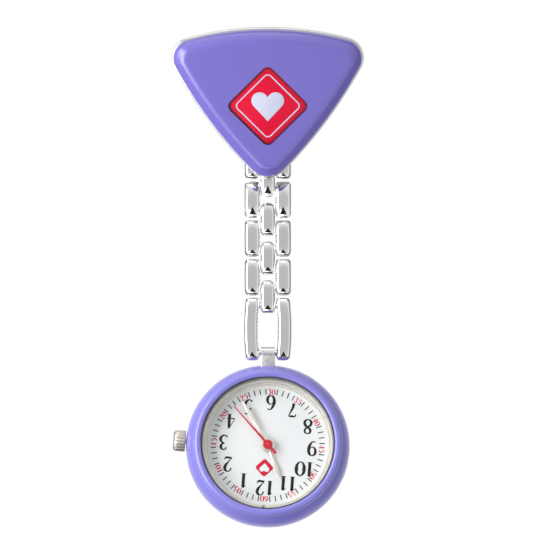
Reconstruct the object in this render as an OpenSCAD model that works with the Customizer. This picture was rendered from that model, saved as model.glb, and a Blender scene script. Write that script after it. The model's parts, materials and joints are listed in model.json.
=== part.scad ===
// Fob watch: a triangular brooch, a jointed link chain and a small upside-down quartz watch.
// +Z is up and the dial faces -Y. The origin is on the axis of the brooch's pin wire.
// It hangs from that wire: the brooch droops forward and the watch head's face looks slightly up.

/* [Brooch] */
// Width of the enamelled brooch plate
brooch_w = 32; // [28:0.5:36]
// Height of the brooch plate, from the bowed top edge to the lower tip
brooch_h = 25; // [23:0.5:27]
// Thickness of the enamelled cover
cover_t = 2.6; // [2.2:0.1:3.2]
// Thickness of the nickel base plate
base_t = 1.2; // [1:0.1:1.4]
// How far the base plate stands out round the cover
base_rim = 0.4; // [0.1:0.05:0.4]
// Forward droop of the brooch when it hangs by its pin
brooch_tilt = 12; // [8:1:12]

/* [Badge] */
// Side of the square badge, which is set on its corner
badge_side = 10; // [8:0.5:10.5]
// Corner radius of the badge
badge_corner = 1.1; // [0.6:0.1:1.5]

/* [Brooch pin] */
// Radius of the pin wire
wire_r = 0.4; // [0.35:0.05:0.45]
// Distance from the wire's axis to the base plate's back
pin_height = 4.2; // [4:0.1:4.6]

/* [Chain] */
// Length of one pitch, an outer pair and a centre link
pitch = 6.56; // [6.5:0.02:6.8]
// Distance between the two pins of an outer pair
outer_span = 3.58; // [3.5:0.02:3.6]
// Thickness of the links from front to back
link_t = 2.2; // [2:0.05:2.4]
// Number of outer pairs above the long end link
pairs = 4; // [4:1:4]
// Distance between the two pins of the long end link
end_span = 8; // [7.5:0.1:9]

/* [Watch head] */
// Outer radius of the case
case_r = 13.85; // [13.7:0.05:14]
// Thickness of the case without its back
case_t = 7.85; // [7.8:0.05:8]
// Distance from the case's centre to the pin of its lug
lug_reach = 15.8; // [15.7:0.05:16.2]
// How far the face looks up as the head hangs
head_tilt = 8; // [3:1:10]
// How far the crown and dial are turned clockwise from the lug
dial_turn = 4; // [0:1:6]
// How far the hour hand was pressed on behind its true place, in degrees
hour_lag = 5; // [0:1:6]
// Time shown: hours
hour = 11; // [0:1:11]
// Time shown: minutes
minute = 24; // [0:1:59]
// Time shown: seconds
second = 22.5; // [0:0.5:59.5]

/* [Hidden] */
$fn = 64;
gap = 0.05;                                  // running clearance, on a radius or between faces
eps = 0.01;                                  // overshoot of a cutting shape

// Brooch, in its own upright frame: x to the right, y to the back, z up, origin on the wire.
pin_below_top = 5.5;
top_z = pin_below_top;
tip_z = top_z - brooch_h;
back_y = -pin_height;
seam_y = back_y - base_t;
front_y = seam_y - cover_t;
corner_r = 3.2;
tip_r = 3.8;
top_bow_r = 52;
side_bow_r = 80;
corner_top_drop = 1.1;                       // the bowed top edge falls by this much at its corners
edge_r = 1.5;                                // rounding of the cover's front edge
badge_z = -6.85;
badge_sunk = 0.35;
badge_t = 0.5;

// Chain, whose pins lie along x. A link's ends are round about its pins.
inner_span = pitch - outer_span;
link_end_r = 1.29;
link_pin_r = 0.5;
centre_half_w = 1.2;
inner_x = 1.32;
outer_x = 3.92;
lug_off = 2.4;                               // from the base plate's back to the chain's first pin
lug_above_tip = 4.2;
lug_local = [back_y + lug_off, tip_z + lug_above_tip];
chain_y = lug_local[0] * cos(brooch_tilt) - lug_local[1] * sin(brooch_tilt);
chain_z = lug_local[0] * sin(brooch_tilt) + lug_local[1] * cos(brooch_tilt);
end_z = chain_z - pairs * pitch;
head_z = end_z - end_span;

// Watch head on its bench: x to 3 o'clock, y to 12 o'clock, z to the front, z = 0 at the back.
lug_z = 4.9;
lug_barrel_r = 1.0;
back_r = 12;
back_t = 0.6;
bore_r = 11.05;
opening_r = 11.33;
ledge_r = 10.5;
ledge_z = [4.65, 5.0];
crystal_z = [6.3, 7.5];
crystal_r = 11.08;
dial_z = [4.2, 4.6];
stem_z = 3.0;
crown_r = 1.8;
crown_x = [13.95, 16.1];
crown_flutes = 20;
plate_r = 8.9;
plate_z = [2.6, 3.2];
bridge_z = [1.25, 1.6];
battery_at = [-4.35, -2.95];
battery_r = 3.4;
battery_z = [0.8, 3.4];

// Going train, module by stage. The second wheel turns once a minute.
second_pinion_n = 8;
second_n = 40;
third_n = 60;
third_pinion_n = 8;
centre_n = 64;
step_n = 36;
step_pinion_n = 8;
rotor_n = 6;
cannon_n = 10;
minute_n = 30;
minute_pinion_n = 8;
hour_n = 32;
third_m = 0.055;
third_d = third_m * (second_pinion_n + third_n) / 2;
centre_m = 2 * third_d / (third_pinion_n + centre_n);
second_m = 0.065;
step_d = second_m * (second_n + step_pinion_n) / 2;
step_m = 0.06;
rotor_d = step_m * (step_n + rotor_n) / 2;
motion_m = 0.11;
motion_d = motion_m * (cannon_n + minute_n) / 2;
third_dir = 100;
step_dir = 300;
rotor_dir = 330;
minute_dir = 60;
third_at = third_d * [cos(third_dir), sin(third_dir)];
step_at = step_d * [cos(step_dir), sin(step_dir)];
rotor_at = step_at + rotor_d * [cos(rotor_dir), sin(rotor_dir)];
minute_at = motion_d * [cos(minute_dir), sin(minute_dir)];
coil_dir = 310;
coil_at = 6.0 * [cos(coil_dir), sin(coil_dir)];
coil_half = 3.0;
clip_x = -0.84;
arbor_r = 0.12;
magnet_r = 0.55;
screws_at = [[-2.7, 2.6], [2.6, 2.2], [0.1, -3.1]];
screw_post_r = 0.7;

// Direction of each hand on the dial, anticlockwise from 12 o'clock.
second_angle = -6 * second;
minute_angle = -6 * (minute + second / 60);
hour_angle = -30 * (hour + minute / 60 + second / 3600) + hour_lag;

// ---------- helpers ----------

// Rounded rectangle from corner a to corner b with true corner arcs
module round_rect(a, b, r) {
    translate([a[0] + r, a[1]]) square([b[0] - a[0] - 2 * r, b[1] - a[1]]);
    translate([a[0], a[1] + r]) square([b[0] - a[0], b[1] - a[1] - 2 * r]);
    for (x = [a[0] + r, b[0] - r], y = [a[1] + r, b[1] - r]) translate([x, y]) circle(r);
}

// Disc or ring between two heights
module ring(r_in, r_out, z) {
    translate([0, 0, z[0]]) linear_extrude(z[1] - z[0]) difference() {
        circle(r_out);
        if (r_in > 0) circle(r_in);
    }
}

// Cylinder along x between two places
module rod_x(r, x) {
    translate([x[0], 0, 0]) rotate([0, 90, 0]) cylinder(r = r, h = x[1] - x[0]);
}

// Outline drawn in (y, z), given its thickness along x
module extrude_x(x) {
    translate([x[0], 0, 0]) rotate([90, 0, 90]) linear_extrude(x[1] - x[0]) children();
}

// Outline drawn in (x, z), given its thickness along y
module extrude_y(y) {
    translate([0, y[1], 0]) rotate([90, 0, 0]) linear_extrude(y[1] - y[0]) children();
}

// ---------- brooch outline ----------

// Centre of an arc of radius big that rounds off two corner circles from outside
function arc_centre(c1, r1, c2, r2, big) =
    let (d = norm(c2 - c1), u = (c2 - c1) / d, a = big - r1, b = big - r2,
         t = (a * a - b * b + d * d) / (2 * d), h = sqrt(a * a - t * t))
    c1 + t * u + h * [-u[1], u[0]];
function heading(v) = atan2(v[1], v[0]);
function arc_points(c, r, from, to, n) =
    let (sweep = (to - from + 720) % 360)
    [for (i = [0:n - 1]) c + r * [cos(from + sweep * i / n), sin(from + sweep * i / n)]];

corner_c = brooch_w / 2 - corner_r;
right_c = [corner_c, top_z - corner_top_drop - corner_r];
left_c = [-corner_c, right_c[1]];
tip_c = [0, tip_z + tip_r];
top_o = arc_centre(right_c, corner_r, left_c, corner_r, top_bow_r);
left_o = arc_centre(left_c, corner_r, tip_c, tip_r, side_bow_r);
right_o = arc_centre(tip_c, tip_r, right_c, corner_r, side_bow_r);

// The rounded triangle, moved inwards by d, anticlockwise from the right-hand corner
function brooch_outline(d) = concat(
    arc_points(right_c, corner_r - d, heading(right_c - right_o), heading(right_c - top_o), 12),
    arc_points(top_o, top_bow_r - d, heading(right_c - top_o), heading(left_c - top_o), 10),
    arc_points(left_c, corner_r - d, heading(left_c - top_o), heading(left_c - left_o), 12),
    arc_points(left_o, side_bow_r - d, heading(left_c - left_o), heading(tip_c - left_o), 8),
    arc_points(tip_c, tip_r - d, heading(tip_c - left_o), heading(tip_c - right_o), 12),
    arc_points(right_o, side_bow_r - d, heading(tip_c - right_o), heading(right_c - right_o), 8));

// Rings of the cover's skin as [inset, y]: the seam, the wall, then the rounded front edge
cover_rings = concat([[0, seam_y]],
    [for (i = [0:6]) [edge_r * (1 - cos(15 * i)), front_y + edge_r * (1 - sin(15 * i))]]);

module cover_skin() {
    rings = [for (r = cover_rings) [for (p = brooch_outline(r[0])) [p[0], r[1], p[1]]]];
    n = len(rings[0]);
    last = len(rings) - 1;
    points = [for (r = rings) each r];
    faces = concat(
        [for (k = [0:last - 1], i = [0:n - 1])
            [k * n + i, k * n + (i + 1) % n, (k + 1) * n + (i + 1) % n, (k + 1) * n + i]],
        [[for (i = [n - 1:-1:0]) i]], [[for (i = [0:n - 1]) last * n + i]]);
    polyhedron(points, faces);
}

module in_brooch() {
    rotate([brooch_tilt, 0, 0]) children();
}

// Square on its corner, centred on the badge
module badge_outline(grow = 0) {
    h = badge_side / 2 + grow;
    translate([0, badge_z]) rotate(45) round_rect([-h, -h], [h, h], badge_corner + grow);
}

module heart(w) {
    r = w * 0.29;
    translate([0, badge_z]) {
        for (s = [-1, 1]) translate([s * r * 0.98, r * 0.8]) circle(r);
        polygon([[0, -w * 0.48], [w * 0.53, r * 0.24], [r * 0.5, r * 0.9], [0, r * 1.15],
                 [-r * 0.5, r * 0.9], [-w * 0.53, r * 0.24]]);
    }
}

module enamel_cover() color([0.5, 0.46, 0.82]) in_brooch() difference() {
    cover_skin();
    extrude_y([front_y - eps, front_y + badge_sunk + badge_t]) badge_outline(gap / 2);
}

module badge_plate() color([0.85, 0.07, 0.2]) in_brooch() difference() {
    extrude_y([front_y + badge_sunk, front_y + badge_sunk + badge_t]) badge_outline();
    extrude_y([front_y, front_y + badge_sunk + badge_t / 2]) heart(5.4);
}

module badge_motif() color([0.93, 0.94, 0.97]) in_brooch()
    extrude_y([front_y + badge_sunk - 0.05, front_y + badge_sunk + badge_t / 2]) heart(5.38);

module base_plate() color([0.8, 0.81, 0.82]) in_brooch() difference() {
    extrude_y([seam_y, back_y]) polygon(brooch_outline(-base_rim));
    for (x = bar_rivet_x) translate([x, back_y - rivet_depth, 0]) rotate([-90, 0, 0])
        cylinder(r = rivet_r + eps, h = rivet_depth + eps);
}

// ---------- brooch pin, hinge and roll-over catch ----------

bar_x = [-12.2, 11.2];
bar_half_w = 1.7;
bar_t = 0.5;
bar_rivet_x = [-6, 5];
rivet_r = 0.5;
rivet_depth = 0.7;
hinge_x = -10.5;
ear_z = [0.78, 1.28];
ear_r = 1.1;
eye_r = 0.95;
collar_end = -8.6;
shank_end = 7;
point_x = 11.3;
catch_x = [8, 10.4];
catch_r = 1.8;
sleeve_r = 1.3;
mouth_half = 46;
slot_half = 0.5;
tab_angle = -36;

module pin_bar() color([0.78, 0.79, 0.8]) in_brooch() difference() {
    union() {
        extrude_y([back_y, back_y + bar_t])
            round_rect([bar_x[0], -bar_half_w], [bar_x[1], bar_half_w], 1.2);
        for (s = [-1, 1]) mirror([0, 0, s > 0 ? 0 : 1]) translate([hinge_x, 0, ear_z[0]])
            linear_extrude(ear_z[1] - ear_z[0]) {
                circle(ear_r);
                translate([-ear_r, back_y + bar_t / 2]) square([2 * ear_r, pin_height - bar_t / 2]);
            }
    }
    translate([hinge_x, 0, -3]) cylinder(r = wire_r + eps, h = 6);
    for (x = bar_rivet_x) translate([x, back_y - eps, 0]) rotate([-90, 0, 0])
        cylinder(r = rivet_r + eps, h = bar_t + 2 * eps);
}

module brooch_rivets() color([0.72, 0.73, 0.74]) in_brooch() {
    translate([hinge_x, 0, -ear_z[1] - 0.22]) cylinder(r = 0.7, h = 0.2);
    translate([hinge_x, 0, -ear_z[1] - 0.1]) cylinder(r = wire_r, h = 2 * ear_z[1] + 0.2);
    translate([hinge_x, 0, ear_z[1] + 0.02]) cylinder(r = 0.7, h = 0.2);
    for (x = bar_rivet_x) translate([x, back_y, 0]) rotate([-90, 0, 0]) {
        translate([0, 0, -rivet_depth + 0.02]) cylinder(r = rivet_r, h = rivet_depth + bar_t);
        translate([0, 0, bar_t + 0.02]) cylinder(r1 = 0.9, r2 = 0.55, h = 0.3);
    }
}

module pin_wire() color([0.86, 0.87, 0.88]) in_brooch() difference() {
    union() {
        translate([hinge_x, 0, -ear_z[0] + gap]) cylinder(r = eye_r, h = 2 * (ear_z[0] - gap));
        rod_x(0.68, [hinge_x, collar_end]);
        rod_x(wire_r, [collar_end, shank_end]);
        translate([shank_end, 0, 0]) rotate([0, 90, 0])
            cylinder(r1 = wire_r, r2 = 0.08, h = point_x - shank_end);
    }
    translate([hinge_x, 0, -2]) cylinder(r = wire_r + gap, h = 4);
}

module catch_housing() color([0.75, 0.76, 0.77]) in_brooch() difference() {
    union() {
        rod_x(catch_r, catch_x);
        translate([catch_x[0], back_y + bar_t, -0.9])
            cube([catch_x[1] - catch_x[0], pin_height - bar_t - 1, 1.8]);
    }
    rod_x(sleeve_r + gap, [catch_x[0] - 1, catch_x[1] + 1]);
    extrude_x([catch_x[0] - 1, catch_x[1] + 1])
        polygon([[0, 0], for (s = [-1, 1]) 3 * [1, s * tan(mouth_half)]]);
}

module catch_sleeve() color([0.82, 0.83, 0.84]) in_brooch() difference() {
    union() {
        rod_x(sleeve_r, [catch_x[0] - 0.3, catch_x[1] + 0.3]);
        for (x = [catch_x[0] - 0.3, catch_x[1] + gap]) rod_x(sleeve_r + 0.25, [x, x + 0.25]);
        rotate([tab_angle, 0, 0]) translate([catch_x[0] + 0.3, 0.9, -0.17])
            cube([catch_x[1] - catch_x[0] - 0.6, 1.8, 0.34]);
    }
    rod_x(0.6, [catch_x[0] - 1, catch_x[1] + 1]);
    translate([catch_x[0] - 1, 0, -slot_half]) cube([catch_x[1] - catch_x[0] + 2, 3, 2 * slot_half]);
}

module brooch_lug() color([0.78, 0.79, 0.8]) in_brooch() translate([0, lug_local[0], lug_local[1]])
    difference() {
        union() {
            rod_x(lug_barrel_r, [-centre_half_w, centre_half_w]);
            translate([-centre_half_w, -lug_off, -0.2]) cube([2 * centre_half_w, lug_off, 1.2]);
            translate([-2.6, -lug_off, -1.6]) cube([5.2, 0.45, 4.6]);
        }
        rod_x(link_pin_r + gap, [-2, 2]);
    }

// ---------- chain ----------

// Side view of a link in (y, z): round about both pins, with a crowned front
module link_side(span, crown_r) {
    intersection() {
        union() {
            translate([-link_t / 2, -span / 2]) square([link_t, span]);
            for (s = [-1, 1]) translate([0, s * span / 2]) circle(link_end_r);
        }
        translate([-link_t / 2, -span]) square([link_t, 2 * span]);
        translate([crown_r - link_t / 2, 0]) circle(crown_r, $fn = 128);
    }
}

// One side block of a pair, on the +x side, bowed outwards by bow at its outer face
module side_block(span, crown_r, bow, inner_bow) {
    half = span / 2 + link_end_r;
    out_r = half * half / (2 * bow);
    difference() {
        intersection() {
            extrude_x([inner_x, outer_x + inner_bow]) link_side(span, crown_r);
            extrude_y([-link_t, link_t]) intersection() {
                round_rect([inner_x - 0.1, -half], [outer_x + inner_bow, half], 0.55);
                translate([outer_x + inner_bow - out_r, 0]) circle(out_r, $fn = 256);
            }
        }
        if (inner_bow > 0) {
            in_r = half * half / (2 * inner_bow);
            extrude_y([-link_t, link_t]) translate([inner_x + inner_bow - in_r, 0])
                circle(in_r, $fn = 256);
        }
        for (s = [-1, 1]) translate([0, 0, s * span / 2]) rod_x(link_pin_r + eps, [0, 6]);
    }
}

// Puts children at the middle of outer pair or centre link number i, from 1
module at_pair(i) {
    translate([0, chain_y, chain_z - outer_span / 2 - (i - 1) * pitch]) children();
}
module at_centre(i) {
    translate([0, chain_y, chain_z - outer_span - inner_span / 2 - (i - 1) * pitch]) children();
}
module at_end() {
    translate([0, chain_y, end_z - end_span / 2]) children();
}

module outer_link(i, side) color([0.82, 0.82, 0.83]) at_pair(i)
    mirror([side < 0 ? 1 : 0, 0, 0]) side_block(outer_span, 11, 0.2, 0);

module pin_pair(span) {
    for (s = [-1, 1]) translate([0, 0, s * span / 2])
        rod_x(link_pin_r, [-outer_x + 0.2, outer_x - 0.2]);
}
module link_pins(i) color([0.7, 0.7, 0.71]) at_pair(i) pin_pair(outer_span);

module centre_link(i) color([0.84, 0.84, 0.85]) at_centre(i) {
    half = inner_span / 2 + link_end_r;
    difference() {
        intersection() {
            extrude_x([-centre_half_w, centre_half_w]) link_side(inner_span, 9);
            extrude_y([-link_t, link_t])
                round_rect([-centre_half_w - 0.001, -half], [centre_half_w + 0.001, half], 0.85);
        }
        for (s = [-1, 1]) translate([0, 0, s * inner_span / 2]) rod_x(link_pin_r + gap, [-2, 2]);
    }
}

module end_link(side) color([0.82, 0.82, 0.83]) at_end()
    mirror([side < 0 ? 1 : 0, 0, 0]) side_block(end_span, 24, 0.62, 0.4);
module end_link_pins() color([0.7, 0.7, 0.71]) at_end() pin_pair(end_span);

// ---------- watch case ----------

// Carries the bench frame to the hanging head, with 12 o'clock down and 3 o'clock to the left
module in_head() {
    translate([0, chain_y, head_z]) rotate([-head_tilt, 0, 0]) translate([0, lug_z, -lug_reach])
        rotate([0, 180, 0]) rotate([90, 0, 0]) children();
}

// The same for what is turned with the crown and dial
module in_case() {
    in_head() rotate([0, 0, -dial_turn]) children();
}

flank_r = 3.6;
bezel_r = 0.75;
bezel_at = [11.85, case_t - 0.75];

// Half section of the case: a round flank with the narrower bezel roll on top of it
module case_section() {
    difference() {
        union() {
            translate([case_r - flank_r, 3.7]) circle(flank_r);
            translate(bezel_at) circle(bezel_r);
        }
        translate([0, -1]) square([20, 1 + back_t]);
        translate([0, 0]) square([bore_r, ledge_z[0]]);
        translate([0, ledge_z[0] - eps]) square([ledge_r, 1]);
        translate([0, ledge_z[1]]) square([opening_r, 4]);
    }
}

module case_body() color([0.5, 0.46, 0.82]) in_head() difference() {
    rotate_extrude($fn = 128) case_section();
    rotate([0, 0, -dial_turn]) translate([0, 0, stem_z]) rod_x(0.45, [9, 15]);
    extrude_x([-centre_half_w - eps, centre_half_w + eps]) lug_web(0.05);
}

lug_root = 12.9;

// Side of the lug's web, which slopes back from its barrel into the round of the flank
module lug_web(grow = 0) {
    polygon([[-lug_reach, lug_z - lug_barrel_r - grow], [-lug_root, 2.6 - grow],
             [-lug_root, 4.3 + grow], [-lug_reach, lug_z + lug_barrel_r + grow]]);
}

module case_lug() color([0.76, 0.76, 0.75]) in_head() difference() {
    union() {
        translate([0, -lug_reach, lug_z]) rod_x(lug_barrel_r, [-centre_half_w, centre_half_w]);
        extrude_x([-centre_half_w, centre_half_w]) lug_web();
    }
    translate([0, -lug_reach, lug_z]) rod_x(link_pin_r + gap, [-2, 2]);
}

module case_back() color([0.74, 0.75, 0.76]) in_case() rotate_extrude($fn = 128) {
    polygon([[0, 0], [back_r - 1.2, 0], [back_r - 0.1, 0.25], [back_r - 0.1, back_t], [10.7, back_t],
             [10.7, 1.2], [11, 1.25], [11, 1.5], [10.4, 1.5], [10.4, back_t], [0, back_t]]);
}

module back_gasket() color([0.15, 0.15, 0.16]) in_case() ring(10.72, bore_r - 0.01, [back_t + 0.01, 1.18]);
module crystal() color([0.9, 0.95, 1, 0.3]) in_case() ring(0, crystal_r, crystal_z);
module crystal_gasket() color([0.9, 0.91, 0.88]) in_case()
    ring(crystal_r + eps, opening_r - eps, [crystal_z[0], crystal_z[1] - 0.15]);

// Sprung inner ring between dial and crystal, split at 12 o'clock
module rehaut_ring() color([0.85, 0.86, 0.84]) in_case() difference() {
    rotate_extrude($fn = 128) polygon([
        [10.15, dial_z[1] + 0.02], [ledge_r - gap, dial_z[1] + 0.02],
        [ledge_r - gap, ledge_z[1] + 0.02], [opening_r - gap, ledge_z[1] + 0.02],
        [opening_r - gap, crystal_z[0] - 0.02], [10.95, crystal_z[0] - 0.02]]);
    translate([-0.2, 9, 4]) cube([0.4, 3, 3]);
}

module dial() color([0.93, 0.94, 0.94]) in_case() ring(0.75, 10.7, dial_z);

// ---------- hands ----------

// A hand in the xy plane, pointing to 12 o'clock: a long blade with a round boss
module blade(length, wide, at) {
    polygon([[0.16, 0], [wide / 2, length * at], [0.05, length], [-0.05, length],
             [-wide / 2, length * at], [-0.16, 0]]);
}
hand_z = [5.0, 5.35, 5.72];

module hour_hand() color([0.88, 0.86, 0.8]) in_case() rotate(hour_angle) translate([0, 0, hand_z[0]])
    linear_extrude(0.14) difference() {
        union() {
            circle(1.2);
            blade(6.4, 0.85, 0.66);
        }
        circle(hour_pipe_r);
    }
module minute_hand() color([0.88, 0.86, 0.8]) in_case() rotate(minute_angle)
    translate([0, 0, hand_z[1]]) linear_extrude(0.14) difference() {
        union() {
            circle(1.0);
            blade(8.6, 0.95, 0.72);
        }
        circle(cannon_r);
    }
module second_hand() color([0.85, 0.08, 0.2]) in_case() rotate(second_angle)
    translate([0, 0, hand_z[2]]) {
        linear_extrude(0.12) difference() {
            union() {
                circle(0.8);
                polygon([[0.22, -0.3], [0.12, 8.7], [-0.12, 8.7], [-0.22, -0.3]]);
                translate([-0.24, -1.85]) square([0.48, 1.85]);
                translate([0, -1.85]) circle(0.26);
            }
            circle(arbor_r);
        }
    }

// ---------- movement ----------

hour_pipe_r = 0.6;
cannon_r = 0.32;

// Outline of a wheel with n teeth of module m, one tooth centred on direction phase
function tooth(n, m, a) = let (p = 360 / n, r = n * m / 2)
    [for (k = [[-1.15, -0.27], [0, -0.225], [0.9, -0.1], [0.9, 0.1], [0, 0.225], [-1.15, 0.27]])
        (r + k[0] * m) * [cos(a + k[1] * p), sin(a + k[1] * p)]];
module gear(n, m, z, phase = 0) {
    translate([0, 0, z[0]]) linear_extrude(z[1] - z[0])
        polygon([for (i = [0:n - 1]) each tooth(n, m, phase + 360 * i / n)]);
}
// Phase of the second wheel of a pair, so that its teeth stand in the gaps of the first.
// The first has na teeth and phase pa, and the second lies in direction dir from it.
function meshed(dir, na, pa, nb) = dir + 180 - (360 / nb) * (0.5 - (dir - pa) * na / 360);

second_phase = 0;
third_phase = meshed(third_dir, second_pinion_n, 0, third_n);
centre_phase = meshed(third_dir + 180, third_pinion_n, 0, centre_n);
step_pinion_phase = meshed(step_dir, second_n, second_phase, step_pinion_n);
rotor_phase = meshed(rotor_dir, step_n, 0, rotor_n);
minute_phase = meshed(minute_dir, cannon_n, 0, minute_n);
hour_phase = meshed(minute_dir + 180, minute_pinion_n, 0, hour_n);

module second_wheel() color([0.8, 0.66, 0.35]) in_case() {
    translate([0, 0, bridge_z[0]]) cylinder(r = arbor_r, h = hand_z[2] + 0.3 - bridge_z[0]);
    gear(second_n, second_m, [1.78, 1.9], second_phase);
    gear(second_pinion_n, third_m, [1.88, 2.18]);
}
module third_wheel() color([0.8, 0.66, 0.35]) in_case() translate(third_at) {
    translate([0, 0, bridge_z[0]]) cylinder(r = 0.1, h = plate_z[0] + 0.3 - bridge_z[0]);
    gear(third_n, third_m, [2.02, 2.14], third_phase);
    gear(third_pinion_n, centre_m, [2.12, 2.54]);
}
module centre_wheel() color([0.8, 0.66, 0.35]) in_case() difference() {
    union() {
        translate([0, 0, 2.34]) cylinder(r = cannon_r, h = hand_z[1] + 0.2 - 2.34);
        gear(centre_n, centre_m, [2.36, 2.5], centre_phase);
        gear(cannon_n, motion_m, [plate_z[1] + 0.05, plate_z[1] + 0.35]);
    }
    translate([0, 0, 2]) cylinder(r = arbor_r + 0.04, h = 5);
}
module minute_wheel() color([0.8, 0.66, 0.35]) in_case() translate(minute_at) difference() {
    union() {
        gear(minute_n, motion_m, [plate_z[1] + 0.08, plate_z[1] + 0.28], minute_phase);
        gear(minute_pinion_n, motion_m, [plate_z[1] + 0.26, plate_z[1] + 0.8]);
    }
    translate([0, 0, 3]) cylinder(r = 0.2, h = 2);
}
module hour_wheel() color([0.8, 0.66, 0.35]) in_case() difference() {
    union() {
        gear(hour_n, motion_m, [plate_z[1] + 0.5, plate_z[1] + 0.68], hour_phase);
        translate([0, 0, plate_z[1] + 0.5]) cylinder(r = hour_pipe_r, h = hand_z[0] + 0.14 - plate_z[1] - 0.5);
    }
    translate([0, 0, 3]) cylinder(r = cannon_r + 0.04, h = 4);
}
module step_wheel() color([0.85, 0.85, 0.8]) in_case() translate(step_at) {
    translate([0, 0, bridge_z[0]]) cylinder(r = 0.1, h = plate_z[0] + 0.3 - bridge_z[0]);
    gear(step_n, step_m, [2.02, 2.14]);
    gear(step_pinion_n, second_m, [1.74, 2.04], step_pinion_phase);
}
module rotor() color([0.35, 0.35, 0.38]) in_case() translate(rotor_at) {
    translate([0, 0, bridge_z[0]]) cylinder(r = 0.1, h = plate_z[0] + 0.3 - bridge_z[0]);
    gear(rotor_n, step_m, [1.96, 2.2], rotor_phase);
    translate([0, 0, 1.64]) cylinder(r = magnet_r, h = 0.34);
}

module main_plate() color([0.75, 0.72, 0.62]) in_case() difference() {
    union() {
        ring(0, plate_r, plate_z);
        ring(plate_r - 0.7, plate_r, [bridge_z[0], dial_z[0] - 0.02]);
        translate(minute_at) ring(0, 0.16, [plate_z[1], plate_z[1] + 0.8]);
        for (s = screws_at) translate(s) ring(0, screw_post_r, [bridge_z[1], plate_z[0]]);
    }
    translate([0, 0, 2]) cylinder(r = cannon_r + 0.06, h = 2);
    for (w = [third_at, step_at, rotor_at]) translate([w[0], w[1], 2.5]) cylinder(r = 0.15, h = 0.45);
    translate([battery_at[0], battery_at[1], 0]) cylinder(r = battery_r + 0.1, h = battery_z[1] + 0.1);
    translate([4.2, -0.9, 1]) cube([6, 1.8, 2.6]);
    for (s = screws_at) translate([s[0], s[1], 1]) cylinder(r = 0.4, h = 2);
}
module movement_ring() color([0.94, 0.94, 0.92]) in_case() difference() {
    ring(plate_r + gap, bore_r - 0.1, [1.55, dial_z[0] - 0.02]);
    translate([8, -1, 2.2]) cube([4, 2, 1.7]);
}
module train_bridge() color([0.78, 0.74, 0.62]) in_case() difference() {
    translate([0, 0, bridge_z[0]]) linear_extrude(bridge_z[1] - bridge_z[0]) {
        circle(3.2);
        for (s = screws_at) translate(s) circle(0.95);
    }
    translate([0, 0, 1]) cylinder(r = arbor_r + 0.04, h = 1);
    for (w = [third_at, step_at, rotor_at]) translate([w[0], w[1], 1]) cylinder(r = 0.14, h = 1);
    for (s = screws_at) translate([s[0], s[1], 1]) cylinder(r = 0.42, h = 1);
    translate([battery_at[0], battery_at[1], 1]) cylinder(r = battery_r + 0.1, h = 1);
}
module bridge_screws() color([0.6, 0.62, 0.66]) in_case() for (s = screws_at) translate(s) difference() {
    union() {
        ring(0, 0.7, [bridge_z[0] - 0.5, bridge_z[0] - 0.18]);
        ring(0, 0.38, [bridge_z[0] - 0.2, 2.9]);
    }
    translate([-1, -0.08, bridge_z[0] - 0.6]) cube([2, 0.16, 0.22]);
}
module battery() color([0.82, 0.83, 0.84]) in_case() translate(battery_at) {
    ring(0, battery_r, [battery_z[0], 2.9]);
    ring(0, battery_r - 0.5, [2.8, battery_z[1]]);
}
module battery_clip() color([0.85, 0.82, 0.7]) in_case() difference() {
    union() {
        translate([0, 0, battery_z[0] - 0.17]) linear_extrude(0.15) {
            translate(battery_at) circle(1.6);
            translate([battery_at[0], screws_at[2][1] - 0.6]) square([clip_x + 0.15 - battery_at[0], 1.2]);
        }
        translate([clip_x, screws_at[2][1] - 0.6, battery_z[0] - 0.17]) cube([0.15, 1.2, 0.6]);
        translate([0, 0, bridge_z[0] - 0.17]) linear_extrude(0.15) {
            translate(screws_at[2]) circle(0.8);
            translate([clip_x, screws_at[2][1] - 0.6]) square([0.9, 1.2]);
        }
    }
    translate([screws_at[2][0], screws_at[2][1], 0]) cylinder(r = 0.42, h = 2);
}
module circuit_board() color([0.12, 0.42, 0.22]) in_case() translate([0, 0, 1.65]) linear_extrude(0.3)
    difference() {
        intersection() {
            circle(8.1);
            polygon([[-8.2, 1.6], [-3.9, 1.6], [-3.5, 3.4], [1.2, 3.6], [1.8, 8.2], [-8.2, 8.2]]);
        }
        circle(3.3);
        for (s = screws_at) translate(s) circle(screw_post_r + gap);
    }
module quartz_can() color([0.8, 0.81, 0.83]) in_case() translate([-5.2, 3.9, 1.14]) rotate([0, 0, 42])
    rotate([0, 90, 0]) {
        cylinder(r = 0.5, h = 4.2);
        for (s = [-1, 1]) translate([0, 0.22 * s, -0.8]) cylinder(r = 0.1, h = 0.9);
    }
module coil() color([0.72, 0.4, 0.22]) in_case() translate([coil_at[0], coil_at[1], 1.85])
    rotate([0, 0, coil_dir - 90]) {
        rotate([0, 90, 0]) translate([0, 0, -coil_half]) cylinder(r = 0.72, h = 2 * coil_half);
        translate([-4.1, -0.35, 0.14]) cube([8.2, 0.7, 0.2]);
        for (s = [-1, 1]) translate([s * (coil_half + 0.1) - 0.1, -0.8, -0.72]) cube([0.2, 1.6, 1.44]);
    }
module stator() color([0.66, 0.67, 0.7]) in_case() translate([0, 0, 1.64]) linear_extrude(0.34)
    difference() {
        union() {
            translate(rotor_at) circle(1.2);
            rotate(coil_dir - 90) {
                translate([-4.1, 3.25]) square([8.2, 0.8]);
                for (x = [-4.1, 3.4]) translate([x, 3.25]) square([0.7, 3.2]);
            }
        }
        translate(rotor_at) circle(magnet_r + 0.1);
        translate(step_at) circle(0.4);
        circle(1.42);
    }

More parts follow.
